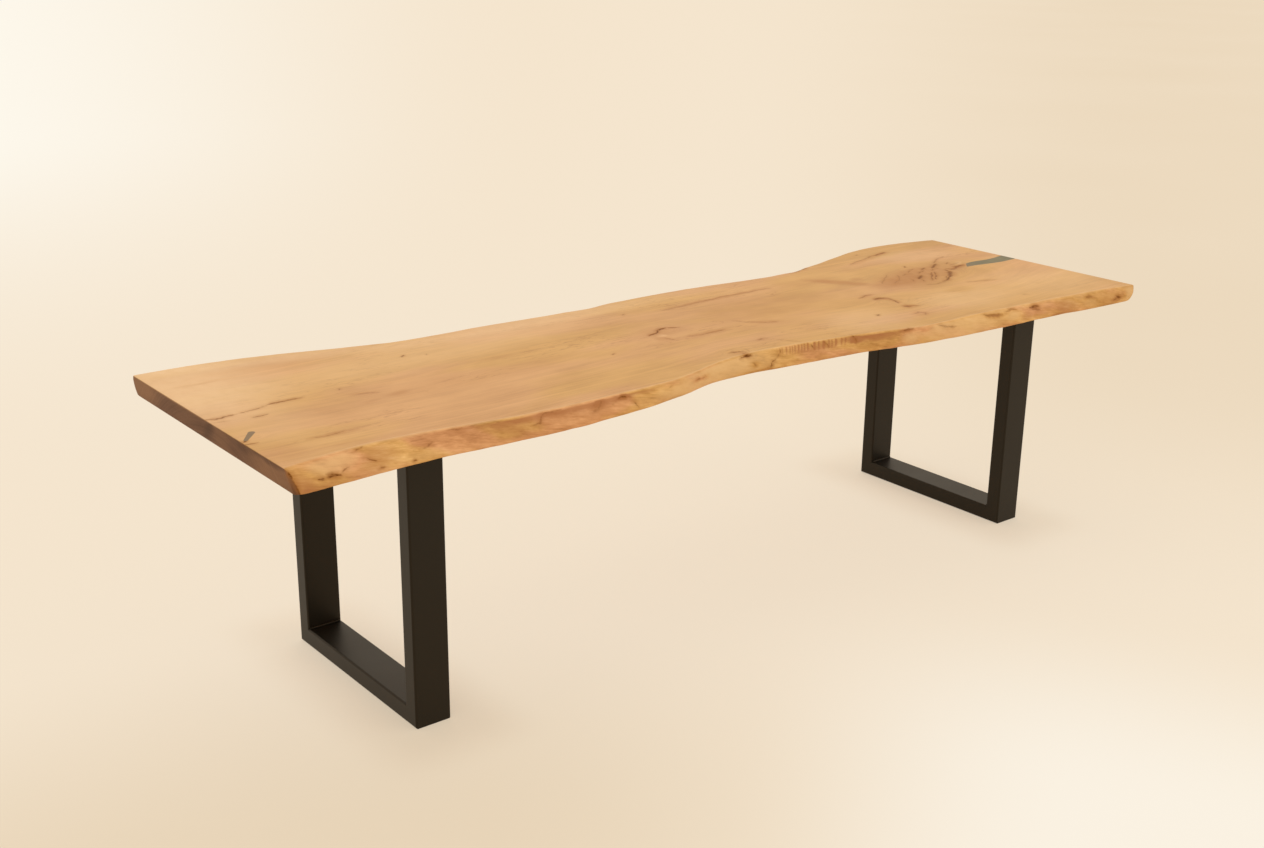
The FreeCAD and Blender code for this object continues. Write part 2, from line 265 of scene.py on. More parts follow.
SLAB_TOP = 760.0
THICKNESS = 50.0
HALF_LENGTH = 1440.0
LEFT_UNDERCUT = 1.5
RIGHT_UNDERCUT = 22.0
EDGE_BELLY = 9.0
TOP_ROUND = 2.4
UNDER_ROUND = 4.5
FRONT_TOP = [373, 342, 346, 370, 382, 379, 369, 319, 304, 325, 355, 393, 392, 399, 408, 418, 447]
FRONT_UNDER = [420, 408, 399, 408, 412, 400, 373, 330, 335, 349, 369, 400, 415, 423, 426, 440, 448]
BACK_TOP = [453, 449, 419, 371, 337, 337, 330, 325, 335, 338, 328, 309, 320, 368, 415, 419, 382]
BACK_UNDER = [436, 421, 392, 352, 322, 324, 320, 313, 321, 325, 318, 304, 312, 352, 392, 396, 366]

# Lattice that the board is shaped from: close-set rows next to every arris, even ones between
ROWS_ALONG = 300
ROWS_ACROSS = 86
ROW_DEPTHS = [0, 0.8, 1.6, 2.4, 6, 11, 17, 23, 29, 35, 40, 44, 46.2, 48.2, 50]
CLOSE_ROWS = [0, 0.8, 1.6, 2.4, 6, 12]


def smooth_through(widths):
    """Slopes of the smooth curve through evenly spaced widths."""
    count = len(widths)
    system = np.diag(np.full(count, 4.0)) + np.diag(np.ones(count - 1), 1) + np.diag(np.ones(count - 1), -1)
    system[0, 0] = system[-1, -1] = 2.0
    values = np.array(widths, float)
    right = np.empty(count)
    right[1:-1] = 3 * (values[2:] - values[:-2])
    right[0] = 3 * (values[1] - values[0])
    right[-1] = 3 * (values[-1] - values[-2])
    return np.linalg.solve(system, right)


def width_at(widths, share):
    """The smooth curve's width at shares 0 to 1 of the length."""
    values = np.array(widths, float)
    slopes = smooth_through(widths)
    place = np.clip(share, 0, 1) * (len(widths) - 1)
    left = np.minimum(place.astype(int), len(widths) - 2)
    t = place - left
    rise = values[left + 1] - values[left]
    bend = t * (1 - t) * ((1 - t) * (slopes[left] - rise) - t * (slopes[left + 1] - rise))
    return values[left] + rise * t + bend


def unevenness(x, depth, seed):
    """How far the brushed sapwood stands out of its smooth sweep."""
    return np.array([
        2.6 * noise.noise((along * 0.011, down * 0.020, seed))
        + 1.3 * noise.noise((along * 0.030, down * 0.055, seed + 7))
        + 0.45 * noise.noise((along * 0.085, down * 0.11, seed + 13))
        for along, down in zip(x, depth)])


def bump(x, middle, reach):
    """A smooth hump, 1 at its middle and 0 beyond its reach."""
    return np.clip(1 - ((x - middle) / reach) ** 2, 0, 1) ** 2


def ends(depth):
    """Where the two sawn ends lie at a depth."""
    lean = np.clip(depth - 2, 0, None) / (THICKNESS - 2)
    return LEFT_UNDERCUT * lean - HALF_LENGTH, HALF_LENGTH - RIGHT_UNDERCUT * lean


def washboard(x, depth):
    """Slanting grooves under the front arris, 1 at their deepest."""
    along = x + 0.8 * depth - 8
    turns = np.where(along < 115, along / 10.4, 115 / 10.4 + (along - 115) / 15.5)
    drift = 0.9 * np.sin(along * 0.061) + 1.1 * np.sin(along * 0.143 + 2.0)
    groove = np.clip(np.sin(2 * math.pi * turns + drift), -0.4, 1)
    reach = np.clip((depth - 0.5) / 2, 0, 1) * np.clip((23 - depth) / 12, 0, 1)
    return groove * reach * bump(x, 160, 142) ** 0.35


def front_width(x, depth):
    left, right = ends(depth)
    share = (x - left) / (right - left)
    down = depth / THICKNESS
    width = width_at(FRONT_TOP, share) * (1 - down) + width_at(FRONT_UNDER, share) * down
    width = width + EDGE_BELLY * 4 * down * (1 - down) + unevenness(x, depth, 3.0)
    # The bark notch, the washboard beyond it, and the hollows where branches grew
    width = width - 5.0 * bump(x, -76, 24) * bump(depth, 6, 5.6)
    width = width - 2.0 * washboard(x, depth)
    hollows = bump(x, 392, 104) ** 0.4 + bump(x, 808, 42) ** 0.5 + bump(x, 985, 34)
    width = width - 2.6 * bump(depth, 13, 9) * hollows
    # The front left corner is worn rounder towards the underside
    width = width - 13.0 * down * np.clip((-1408 - x) / 32, 0, 1) ** 2
    return width + 4.0 * np.clip((x - 1120) / 70, 0, 1) * np.clip((1300 - x) / 90, 0, 1) * (1 - down)


def back_width(x, depth):
    left, right = ends(depth)
    share = (x - left) / (right - left)
    down = depth / THICKNESS
    width = width_at(BACK_TOP, share) * (1 - down) + width_at(BACK_UNDER, share) * down
    width = width + EDGE_BELLY * 4 * down * (1 - down) + unevenness(x, depth, 31.0)
    return width - 5.0 * bump(x, 700, 60) * np.clip(1 - depth / 20, 0, 1) - 5.0 * bump(x, -130, 80)


def row_place(row, count, span):
    """Where a lattice row lies between 0 and the span."""
    close = len(CLOSE_ROWS) - 1
    first = np.interp(row, range(close + 1), CLOSE_ROWS)
    last = span - np.interp(count - row, range(close + 1), CLOSE_ROWS)
    edge = CLOSE_ROWS[-1]
    middle = edge + (row - close) / (count - 2 * close) * (span - 2 * edge)
    return np.where(row <= close, first, np.where(row >= count - close, last, middle))


def shaped(lattice):
    """Lattice rows (along, across, down) turned into places on the board's surface, in millimetres."""
    depth = np.interp(lattice[:, 2], range(len(ROW_DEPTHS)), ROW_DEPTHS)
    left, right = ends(depth)
    x = left + row_place(lattice[:, 0], ROWS_ALONG, right - left)
    front = front_width(x, depth)
    back = back_width(x, depth)
    y = row_place(lattice[:, 1], ROWS_ACROSS, front + back) - front
    # Every arris and corner is eased: a place nearer than the radius to two or three faces moves on
    # to the arc or ball that touches them.
    radius = TOP_ROUND + (UNDER_ROUND - TOP_ROUND) * np.clip((depth - 10) / 30, 0, 1)
    inset = np.stack([np.minimum(x - left, right - x), np.minimum(y + front, back - y),
                      np.minimum(depth, THICKNESS - depth)], 1)
    short = np.clip(radius[:, None] - inset, 0, None)
    reach = np.maximum(np.linalg.norm(short, axis=1), 1e-9)
    pull = np.clip(1 - radius / reach, 0, None)[:, None] * short
    inward = np.stack([-np.sign(x), -np.sign(y + (front - back) / 2), -np.sign(THICKNESS / 2 - depth)], 1)
    return np.stack([x, y, SLAB_TOP - depth], 1) + pull * inward


# Cracks, bark pockets and knots: half width, darkness, depth and the line along the wood, in millimetres.
# Those of the top are given by (x, y), those of the front edge by (x, z).
TOP_MARKS = [
    # The crack that runs in from the left end, and small checks beside it
    (2.8, 0.62, 1.0, [(-1440, 20), (-1415, 13), (-1386, 17), (-1365, 18)]),
    (1.8, 0.42, 0.5, [(-1365, 18), (-1333, 25), (-1308, 27), (-1277, 38)]),
    (3.2, 0.66, 1.0, [(-1277, 38), (-1244, 43), (-1216, 41), (-1186, 42)]),
    (1.6, 0.25, 0.2, [(-1436, -7), (-1394, -18)]),
    (3.4, 0.45, 0.4, [(-1346, -28), (-1324, -27), (-1308, -25)]),
    (2.4, 0.55, 0.5, [(-1440, -186), (-1426, -190), (-1409, -191)]),
    (3.6, 0.72, 0.6, [(-1424, -164), (-1440, -178)]),
    (2.2, 0.30, 0.2, [(-1320, -238), (-1260, -242), (-1225, -234)]),
    (4.0, 0.75, 0.7, [(-821, 200), (-810, 211)]),
    (2.4, 0.35, 0.3, [(-759, 178), (-753, 189)]),
    (2.6, 0.35, 0.3, [(-1088, 44), (-1078, 56)]),
    (2.0, 0.25, 0.2, [(-1083, -8), (-1050, -16), (-1022, -30)]),
    # The bark pocket in the middle
    (3.0, 0.70, 1.2, [(-172, -18), (-131, 2), (-108, 20)]),
    (5.0, 0.80, 1.4, [(-112, 12), (-96, 22), (-80, 24)]),
    (2.6, 0.55, 0.8, [(-80, 24), (-70, 13), (-52, 6)]),
    (2.2, 0.35, 0.4, [(-150, -59), (-142, -95)]),
    (2.4, 0.30, 0.3, [(-93, -86), (-35, -91), (40, -88)]),
    (2.0, 0.25, 0.3, [(119, -31), (141, -61), (161, -89)]),
    (2.4, 0.30, 0.3, [(150, -62), (185, -100), (225, -112)]),
    (3.4, 0.35, 0.4, [(41, -228), (62, -216)]),
    (2.0, 0.25, 0.3, [(85, -252), (103, -280), (125, -303)]),
    (3.0, 0.55, 0.5, [(-112, -270), (-88, -276), (-66, -284)]),
    (3.0, 0.50, 0.4, [(-370, -108), (-358, -98)]),
    (3.4, 0.40, 0.4, [(-95, 200), (-84, 211)]),
    (3.0, 0.22, 0.2, [(30, 176), (200, 188), (280, 198), (420, 196), (480, 190)]),
    # The pair of knots in front of the burl
    (2.2, 0.40, 0.4, [(602, -64), (640, -52), (682, -50)]),
    (5.0, 0.60, 0.9, [(628, -98), (660, -96), (676, -108)]),
    (3.4, 0.45, 0.6, [(676, -108), (674, -140), (656, -172)]),
    (6.0, 0.72, 1.0, [(645, -206), (662, -216)]),
    (2.6, 0.45, 0.5, [(662, -216), (686, -226)]),
    (3.0, 0.25, 0.3, [(603, -285), (630, -275), (640, -295), (620, -312)]),
    (4.0, 0.60, 0.5, [(497, -238), (512, -230)]),
    # The burl, and the crack that opens from it into the long resin fill
    (5.0, 0.66, 1.2, [(946, 4), (968, 20), (990, 36)]),
    (3.0, 0.55, 0.7, [(966, -30), (1010, 6), (1048, 46)]),
    (3.0, 0.50, 0.6, [(985, -32), (1028, 4), (1062, 44)]),
    (3.8, 0.62, 1.0, [(984, -62), (1024, -48), (1054, -28)]),
    (7.0, 0.66, 1.5, [(1048, -34), (1080, -8), (1108, 16)]),
    (4.6, 0.50, 0.8, [(1104, 22), (1118, 46)]),
    (5.0, 0.55, 0.9, [(1131, 53), (1139, 38), (1160, 38)]),
    (5.6, 0.62, 1.0, [(1160, 40), (1192, 54), (1224, 57)]),
    (5.0, 0.62, 1.0, [(1098, 84), (1128, 104), (1158, 118)]),
    (2.4, 0.38, 0.4, [(1154, 126), (1208, 160), (1264, 182)]),
    (4.0, 0.50, 0.7, [(1046, 84), (1084, 98)]),
    (3.0, 0.55, 0.6, [(1030, 138), (1048, 154)]),
    (2.6, 0.35, 0.4, [(1182, 90), (1212, 114)]),
    (2.2, 0.30, 0.3, [(905, -60), (940, -75), (1005, -68)]),
    (2.2, 0.25, 0.2, [(800, 30), (850, 62), (905, 105)]),
    (2.0, 0.25, 0.2, [(830, 0), (880, 30), (930, 78)]),
    (2.0, 0.22, 0.2, [(1040, -118), (1085, -125), (1150, -148)]),
    (3.4, 0.60, 0.8, [(1074, 324), (1112, 334), (1150, 342)]),
    (2.6, 0.35, 0.4, [(915, 276), (960, 292), (1074, 324)]),
    (2.6, 0.30, 0.3, [(1030, 360), (1046, 372)]),
    (4.0, 0.30, 0.3, [(1050, -322), (1072, -328)]),
    # Fine crinkles in the burl
    (1.8, 0.40, 0.3, [(930, -28), (944, -12), (950, 6)]),
    (1.8, 0.30, 0.3, [(905, -10), (922, 4), (930, 26)]),
    (1.8, 0.45, 0.3, [(1010, -58), (1034, -30), (1052, -18)]),
    (1.8, 0.50, 0.3, [(1000, 52), (1020, 66), (1050, 78)]),
    (1.8, 0.55, 0.3, [(1062, 60), (1086, 70), (1112, 72)]),
    (1.6, 0.45, 0.3, [(985, 84), (1008, 98), (1040, 108)]),
    (2.0, 0.30, 0.3, [(1176, 74), (1206, 84), (1238, 92)]),
    (1.6, 0.50, 0.3, [(940, 66), (966, 72), (988, 66)]),
    # A strip of bark left in a hollow of the back edge
    (5.0, 0.50, 0.8, [(655, 309), (705, 312), (762, 327)]),
]
FRONT_MARKS = [
    (2.4, 0.80, 0.6, [(-1386, 731), (-1366, 729), (-1349, 728)]),
    (3.0, 1.00, 1.2, [(-1362, 729), (-1346, 728), (-1320, 726)]),
    (1.6, 0.45, 0.5, [(-1320, 727), (-1309, 731), (-1293, 735)]),
    (2.6, 0.75, 0.8, [(-1270, 754), (-1256, 756), (-1242, 758)]),
    (2.0, 0.60, 0.4, [(-1250, 743), (-1237, 737), (-1225, 732)]),
    (2.8, 0.70, 0.5, [(-1230, 721), (-1218, 722)]),
    (3.2, 0.85, 0.7, [(-1144, 718), (-1136, 718)]),
    (3.0, 0.35, 0.4, [(-1121, 735), (-1097, 738), (-1080, 743)]),
    (2.4, 0.30, 0.3, [(-1031, 756), (-999, 754)]),
    (2.4, 0.30, 0.3, [(-956, 742), (-940, 743)]),
    (2.6, 0.40, 0.4, [(-825, 738), (-809, 739), (-796, 750)]),
    (1.8, 0.25, 0.3, [(-796, 750), (-781, 756), (-741, 755)]),
    (1.6, 0.25, 0.3, [(-717, 744), (-697, 742)]),
    (3.0, 0.35, 0.3, [(-662, 737), (-641, 741), (-622, 753)]),
    (2.0, 0.40, 0.4, [(-592, 745), (-584, 746)]),
    (2.2, 0.85, 0.9, [(-569, 752), (-553, 752), (-539, 750)]),
    (2.0, 0.45, 0.4, [(-539, 750), (-531, 740), (-518, 729), (-506, 720)]),
    (2.6, 0.32, 0.3, [(-499, 733), (-490, 731)]),
    (2.0, 0.25, 0.3, [(-402, 748), (-386, 753)]),
    (3.4, 0.50, 0.6, [(-299, 742), (-281, 742)]),
    (1.8, 0.25, 0.3, [(-279, 741), (-253, 742)]),
    (2.4, 0.70, 0.6, [(-107, 752), (-97, 754), (-87, 755)]),
    (5.0, 1.00, 1.4, [(-90, 753), (-76, 754), (-62, 754)]),
    (5.0, 0.45, 0.5, [(-65, 737), (-57, 731)]),
    (3.6, 0.45, 0.5, [(-19, 723), (-12, 721)]),
    (3.0, 0.62, 0.7, [(-24, 717), (-13, 719), (-10, 727)]),
    (1.8, 0.55, 0.6, [(-10, 727), (-6, 734), (10, 739)]),
    (2.4, 0.50, 0.6, [(10, 739), (22, 743), (33, 748), (40, 755)]),
    (2.4, 0.70, 0.6, [(140, 756), (144, 747)]),
    (2.2, 0.70, 0.5, [(187, 756), (191, 746)]),
    (3.6, 0.78, 0.7, [(286, 757), (290, 743)]),
    (3.6, 0.50, 0.6, [(454, 753), (482, 757)]),
    (2.6, 0.30, 0.3, [(573, 755), (605, 747), (643, 741)]),
    (4.0, 0.38, 0.6, [(772, 752), (800, 750), (846, 746)]),
    (3.4, 0.34, 0.5, [(868, 753), (890, 755), (912, 752)]),
    (4.6, 0.60, 0.8, [(968, 752), (1006, 751)]),
    (3.6, 0.45, 0.6, [(976, 744), (1006, 742)]),
    (4.4, 0.35, 0.4, [(1222, 746), (1250, 748)]),
    (5.0, 0.75, 0.7, [(1352, 735), (1370, 732)]),
    (3.4, 0.35, 0.4, [(1338, 722), (1360, 732)]),
    (2.6, 0.90, 0.0, [(-1438, 758), (-1434, 740), (-1427, 712)]),
]


def mark_lines():
    """Every mark with its line as places on the board's surface."""
    for half_width, dark, depth, line in TOP_MARKS:
        yield half_width, dark, depth, np.array([(x, y, SLAB_TOP) for x, y in line], float)
    for half_width, dark, depth, line in FRONT_MARKS:
        x, z = np.array(line, float).T
        yield half_width, dark, depth, np.stack([x, -front_width(x, SLAB_TOP - z), z], 1)


def distance_to(places, line):
    """Shortest distance from each place to a line of straight runs, and how far from its nearer end."""
    nearest = np.full(len(places), np.inf)
    end_gap = np.zeros(len(places))
    lengths = np.linalg.norm(line[1:] - line[:-1], axis=1)
    done = 0.0
    for start, end, length in zip(line[:-1], line[1:], lengths):
        run = (end - start) / length
        along = np.clip((places - start) @ run, 0, length)
        gap = np.linalg.norm(places - start - along[:, None] * run, axis=1)
        end_gap = np.where(gap < nearest, np.minimum(done + along, lengths.sum() - done - along), end_gap)
        nearest = np.minimum(nearest, gap)
        done += length
    return nearest, end_gap


def fade(distance, full, none):
    """1 within the full distance, smoothly down to 0 at none."""
    t = np.clip((none - distance) / (none - full), 0, 1)
    return t * t * (3 - 2 * t)


# The noise below starts from a fixed seed, so that the marks come out the same on every run.
noise.seed_set(7)


def strayed(places):
    """Places shifted a little by noise, so that what is drawn by them gets a natural ragged edge."""
    return places + np.array([5.0 * noise.noise_vector(p * 0.03) + 1.8 * noise.noise_vector(p * 0.12)
                              for p in map(Vector, places)])


def traced(places, width, line):
    """How strongly a mark of this half width shows at each place: it thins out towards both ends."""
    gap, end_gap = distance_to(places, line)
    taper = 0.45 + 0.55 * np.clip(end_gap / 14, 0, 1)
    return fade(gap, width * 0.2 * taper, width * 1.7 * taper) * (0.6 + 0.4 * taper)


board = bmesh.new()
bmesh.ops.create_cube(board, size=1.0)
for axis, rows in enumerate((ROWS_ALONG, ROWS_ACROSS, len(ROW_DEPTHS) - 1)):
    along = [e for e in board.edges if abs(e.verts[0].co[axis] - e.verts[1].co[axis]) > 0.5]
    bmesh.ops.subdivide_edges(board, edges=along, cuts=rows - 1, use_grid_fill=True)
for vertex in board.verts:
    vertex.co = ((vertex.co.x + 0.5) * ROWS_ALONG, (vertex.co.y + 0.5) * ROWS_ACROSS,
                 (0.5 - vertex.co.z) * (len(ROW_DEPTHS) - 1))

# The underside is planed flat, so inside its rim only every tenth row of the lattice is kept.
RIM_ROWS = 6
KEPT_ROWS = 10
bottom = len(ROW_DEPTHS) - 1
spare = []
for edge in board.edges:
    first, second = (vertex.co for vertex in edge.verts)
    inside = all(RIM_ROWS <= co.x <= ROWS_ALONG - RIM_ROWS and RIM_ROWS <= co.y <= ROWS_ACROSS - RIM_ROWS
                 and co.z > bottom - 0.5 for co in (first, second))
    row = first.y if abs(first.x - second.x) > 0.5 else first.x
    if inside and round(row) % KEPT_ROWS:
        spare.append(edge)
bmesh.ops.dissolve_edges(board, edges=spare, use_verts=True)

# Close to the marks and the washboard every face is cut finer, twice over at the thinnest marks.
MARKS = list(mark_lines())
for margin, widest, cuts in ((5.3, 9.0, 3), (1.5, 3.1, 1)):
    centres = shaped(np.array([face.calc_center_median() for face in board.faces]))
    near = np.zeros(len(centres), bool)
    for half_width, dark, depth, line in MARKS:
        if half_width < widest:
            near |= distance_to(centres, line)[0] < half_width + margin
    if cuts == 3:
        grooved = (np.abs(centres[:, 0] - 158) < 150) & (np.abs(centres[:, 2] - 748) < 13)
        near |= grooved & (centres[:, 1] < -300)
    fine = {edge for face, chosen in zip(board.faces, near) if chosen for edge in face.edges}
    bmesh.ops.subdivide_edges(board, edges=list(fine), cuts=cuts, use_grid_fill=True)

lattice = np.array([vertex.co for vertex in board.verts])
places = shaped(lattice)
on_top = np.isclose(lattice[:, 2], 0)
on_front = np.isclose(lattice[:, 1], 0)
drawn = strayed(places)
for half_width, dark, depth, line in MARKS:
    sunk = depth * traced(drawn, half_width * 0.8, line)
    places[:, 2] -= np.where(on_top, sunk, 0)
    places[:, 1] += np.where(on_front & ~on_top, sunk, 0)
for vertex, place in zip(board.verts, places):
    vertex.co = place / 1000
bmesh.ops.recalc_face_normals(board, faces=board.faces)
slab = make_piece("slab_board", board)

# The pockets are the resin's own shapes, run on above the top and out of the end. The bores for the threaded
# inserts are drilled from below the underside.
FILLS = ("epoxy_river_fill", "epoxy_knot_fill")
FILL_TOP = 0.7575
ABOVE_TOP = 0.775
FILL_END = 1.42
BEYOND_END = 1.46
INSERT_RADIUS = 0.006
BORE_RADIUS = 0.00605
BORE_START = 0.690
BORE_DEPTH = 0.044


def take_in(mesh, part):
    """Adds a finished bmesh to another one."""
    data = bpy.data.meshes.new("part")
    part.to_mesh(data)
    part.free()
    mesh.from_mesh(data)
    bpy.data.meshes.remove(data)


cutters = bmesh.new()
for node in FILLS:
    fill = bmesh.new()
    fill.from_mesh(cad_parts[node].data)
    bmesh.ops.remove_doubles(fill, verts=fill.verts, dist=1e-5)
    for vertex in fill.verts:
        if vertex.co.z > FILL_TOP:
            vertex.co.z = ABOVE_TOP
        if vertex.co.x > FILL_END:
            vertex.co.x = BEYOND_END
    bmesh.ops.dissolve_limit(fill, angle_limit=0.01, verts=fill.verts, edges=fill.edges)
    take_in(cutters, fill)
for side in ("left", "right"):
    low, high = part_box(side + "_leg_threaded_inserts")
    for x in (low.x + INSERT_RADIUS, high.x - INSERT_RADIUS):
        for y in (low.y + INSERT_RADIUS, high.y - INSERT_RADIUS):
            middle = Matrix.Translation((x, y, BORE_START + BORE_DEPTH / 2))
            bmesh.ops.create_cone(cutters, cap_ends=True, segments=48, radius1=BORE_RADIUS,
                                  radius2=BORE_RADIUS, depth=BORE_DEPTH, matrix=middle)
cutter = make_piece("pocket_cutters", cutters, None)
routing = slab.modifiers.new("routing", "BOOLEAN")
routing.operation = "DIFFERENCE"
routing.solver = "EXACT"
routing.object = cutter
cut = bpy.data.meshes.new_from_object(slab.evaluated_get(bpy.context.evaluated_depsgraph_get()))
slab.modifiers.clear()
slab.data = cut
bpy.data.objects.remove(cutter)
cut.name = "slab_board"
cut.shade_smooth()
cut.set_sharp_from_angle(angle=math.radians(38))
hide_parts("live_edge_slab")

# What the wood shows where, as numbers on the board's points: dark marks and the stain round them, sapwood
# skin on the natural edges, sawn ends, and a tint that is paler above 0 and browner below. The tint is partly
# the wood's own tone and partly painted light: a painted highlight along the front arris, painted sheen at
# the far left of the top, and painted shade along the flank's lower edge.
TOP_TINTS = [  # middle x and y, reach along and across, turn in degrees, strength
    # The pale patch at the far left end of the top, at x -1430, is partly the wood's colour and partly
    # painted sheen
    (-1150, 405, 420, 62, -12, 0.55), (-1430, 250, 260, 260, 0, 0.80), (-1350, -60, 130, 150, 0, 0.22),
    (-1330, 290, 95, 9, 0, -0.35), (-1240, -238, 70, 12, 2, -0.45), (-1195, -200, 80, 9, 0, -0.25),
    (-1290, -305, 80, 12, 0, -0.35), (-1400, -280, 60, 60, 0, -0.30), (-985, -60, 36, 16, 10, -0.50),
    (-1070, -80, 36, 10, 12, -0.30), (-1060, -12, 48, 12, -20, -0.25), (-700, -60, 330, 60, 0, -0.20),
    (-620, 52, 60, 16, 0, -0.30), (-130, 4, 84, 42, 12, -0.35), (-160, -60, 24, 26, 0, -0.40),
    (-145, -38, 16, 14, 0, 0.70), (-25, -88, 120, 16, 2, -0.40), (195, -98, 60, 22, -25, -0.35),
    (255, 193, 240, 12, 2, -0.60), (300, 60, 260, 120, 0, -0.25), (60, -222, 26, 12, 20, -0.35),
    (-84, -292, 30, 10, 0, -0.40), (430, -250, 160, 120, 0, 0.30), (705, 118, 112, 30, -52, -0.75),
    (780, 120, 22, 26, -45, -0.35), (990, 36, 215, 105, 14, -0.85), (850, 20, 120, 50, 10, -0.45),
    (640, -58, 52, 14, 8, -0.35), (654, -104, 34, 16, -12, -0.70), (668, -142, 12, 40, 8, -0.50),
    (658, -212, 26, 20, 0, -0.80), (622, -295, 34, 26, 0, -0.30), (870, -245, 190, 110, 0, 0.35),
    (940, -165, 60, 30, 0, -0.25), (1090, -130, 70, 14, -14, -0.30), (1280, -250, 260, 180, 0, 0.30),
    (1215, 78, 40, 12, 30, 0.50), (1040, 303, 140, 12, 16, -0.45), (1112, 334, 50, 9, 10, -0.60),
    (1200, 52, 60, 18, 14, -0.75), (-300, 300, 620, 60, 0, 0.35), (1180, 250, 200, 80, -10, 0.30),
    (-700, 210, 620, 130, 6, 0.32), (120, -60, 560, 75, 0, -0.20), (610, 180, 150, 60, 0, -0.28),
]
FRONT_TINTS = [  # middle x and z, reach along and up, slant, strength
    # The thin dark strips at z 713 to 714 are painted shade along the flank's lower edge, where it turns
    # under the board
    (-1335, 746, 84, 18, 0, 0.75), (-1412, 732, 34, 26, 0, -0.70), (-1380, 714, 60, 8, 0, -0.50),
    (-1225, 736, 60, 22, 0.10, -0.50), (-1105, 742, 40, 10, 0.15, -0.25), (-1110, 725, 60, 14, 0, 0.25),
    (-1015, 752, 60, 8, 0, -0.35), (-877, 745, 190, 20, 0, -0.28), (-887, 742, 60, 16, -0.50, -0.25),
    (-700, 745, 150, 16, 0, -0.15), (-635, 746, 40, 14, 0.40, -0.30), (-660, 752, 280, 9, 0, -0.65),
    (-547, 752, 40, 7, 0, -0.40), (-434, 730, 120, 20, 0, 0.25), (-205, 738, 205, 44, 0, 1.0),
    (-360, 728, 90, 16, 0, 0.40), (-274, 742, 42, 8, 0, -0.95), (-862, 754, 30, 6, 0, -0.45),
    (-62, 734, 24, 10, 0, -0.65), (-60, 713, 90, 4, 0, -0.70), (146, 749, 130, 9, 0, -0.35),
    (170, 742, 50, 10, 0, -0.35), (292, 750, 24, 12, 0, -0.80), (352, 752, 118, 12, 0, -1.0),
    (365, 728, 90, 16, 0, -0.18), (468, 729, 24, 15, 0, 0.60), (462, 755, 26, 6, 0, -0.60),
    (650, 736, 210, 44, 0, 0.80), (516, 751, 36, 5, 0, -0.60), (585, 752, 40, 8, 0, 0.35),
    (808, 748, 42, 7, -0.06, -0.80), (890, 754, 26, 4, 0, -0.60), (895, 736, 36, 12, 0, 0.65),
    (945, 731, 30, 14, 0, -0.45), (938, 753, 34, 7, 0, 0.35), (988, 748, 40, 8, 0, -0.65),
    (1010, 728, 50, 14, 0, -0.35), (1060, 750, 40, 10, 0, 0.25), (1125, 734, 60, 30, 0, -0.60),
    (1190, 752, 50, 10, 0, 0.30), (1240, 732, 50, 20, 0, 0.30), (1235, 746, 40, 7, 0, -0.45),
    (1310, 738, 60, 20, 0, -0.30), (1360, 728, 45, 14, 0.30, -0.50), (1418, 738, 26, 40, 0, 0.90),
    (1075, 713, 60, 4, 0, -0.70), (850, 756, 60, 4, 0, 0.50),
]
END_TINTS = [  # middle y and z, reach across and up, slant, strength
    (400, 740, 110, 40, 0, 0.60), (150, 735, 60, 40, -0.60, 0.15), (10, 738, 22, 34, -0.80, -0.90),
    (-60, 735, 50, 40, 0, 0.25), (-172, 752, 24, 12, 0, -0.60), (-320, 735, 120, 44, 0, 0.50),
    (-300, 754, 70, 6, 0, -0.60),
]

places = np.empty(len(cut.vertices) * 3)
cut.vertices.foreach_get("co", places)
places = places.reshape(-1, 3) * 1000
depth = np.clip(SLAB_TOP - places[:, 2], 0, THICKNESS)
front_gap = places[:, 1] + front_width(places[:, 0], depth)
back_gap = back_width(places[:, 0], depth) - places[:, 1]
left, right = ends(depth)
end_gap = np.minimum(places[:, 0] - left, right - places[:, 0])
skin = np.maximum(fade(front_gap, 0.6, 3.2), fade(back_gap, 0.6, 3.2)) * fade(-depth, -1.2, 0.4)
skin = np.maximum(skin, np.maximum(fade(front_gap, 0.2, 1.6), fade(back_gap, 0.2, 1.6)))
sawn = fade(end_gap, 0.5, 2.0) * fade(-depth, -2.2, -0.3)
# The sawn face runs on round the worn front left corner.
worn = fade(places[:, 0] + 1439 - 0.26 * depth, 0.0, 2.0) * fade(-depth, -4.0, -1.0)
sawn = np.maximum(sawn, worn * (front_gap < 14))
drawn = strayed(places)
mark = np.zeros(len(places))
stain = np.zeros(len(places))
for half_width, dark, sink, line in MARKS:
    mark = np.maximum(mark, dark * traced(drawn, half_width, line))
    stain = np.maximum(stain, dark * traced(drawn, half_width * 2.4 + 2.5, line))
x, y, z = drawn.T
on_top = depth < 3
on_front = (front_gap < 12) & ~on_top & (end_gap > 1)
on_end = (end_gap < 2) & ~on_top
tint = np.zeros(len(places))
for middle, other, reach, breadth, turn, strength in TOP_TINTS:
    turn = math.radians(turn)
    ahead = (x - middle) * math.cos(turn) + (y - other) * math.sin(turn)
    aside = (y - other) * math.cos(turn) - (x - middle) * math.sin(turn)
    tint += np.where(on_top, strength * fade(np.hypot(ahead / reach, aside / breadth), 0.3, 1.35), 0)
for middle, level, reach, rise, slant, strength in FRONT_TINTS:
    away = np.hypot((x - middle) / reach, (z - level - slant * (x - middle)) / rise)
    tint += np.where(on_front, strength * fade(away, 0.3, 1.35), 0)
for middle, level, reach, rise, slant, strength in END_TINTS:
    away = np.hypot((y - middle - (z - level) * slant) / reach, (z - level) / rise)
    tint += np.where(on_end & (places[:, 0] < 0), strength * fade(away, 0.3, 1.35), 0)
tint -= 1.3 * np.clip(washboard(places[:, 0], depth), 0, 1) * on_front
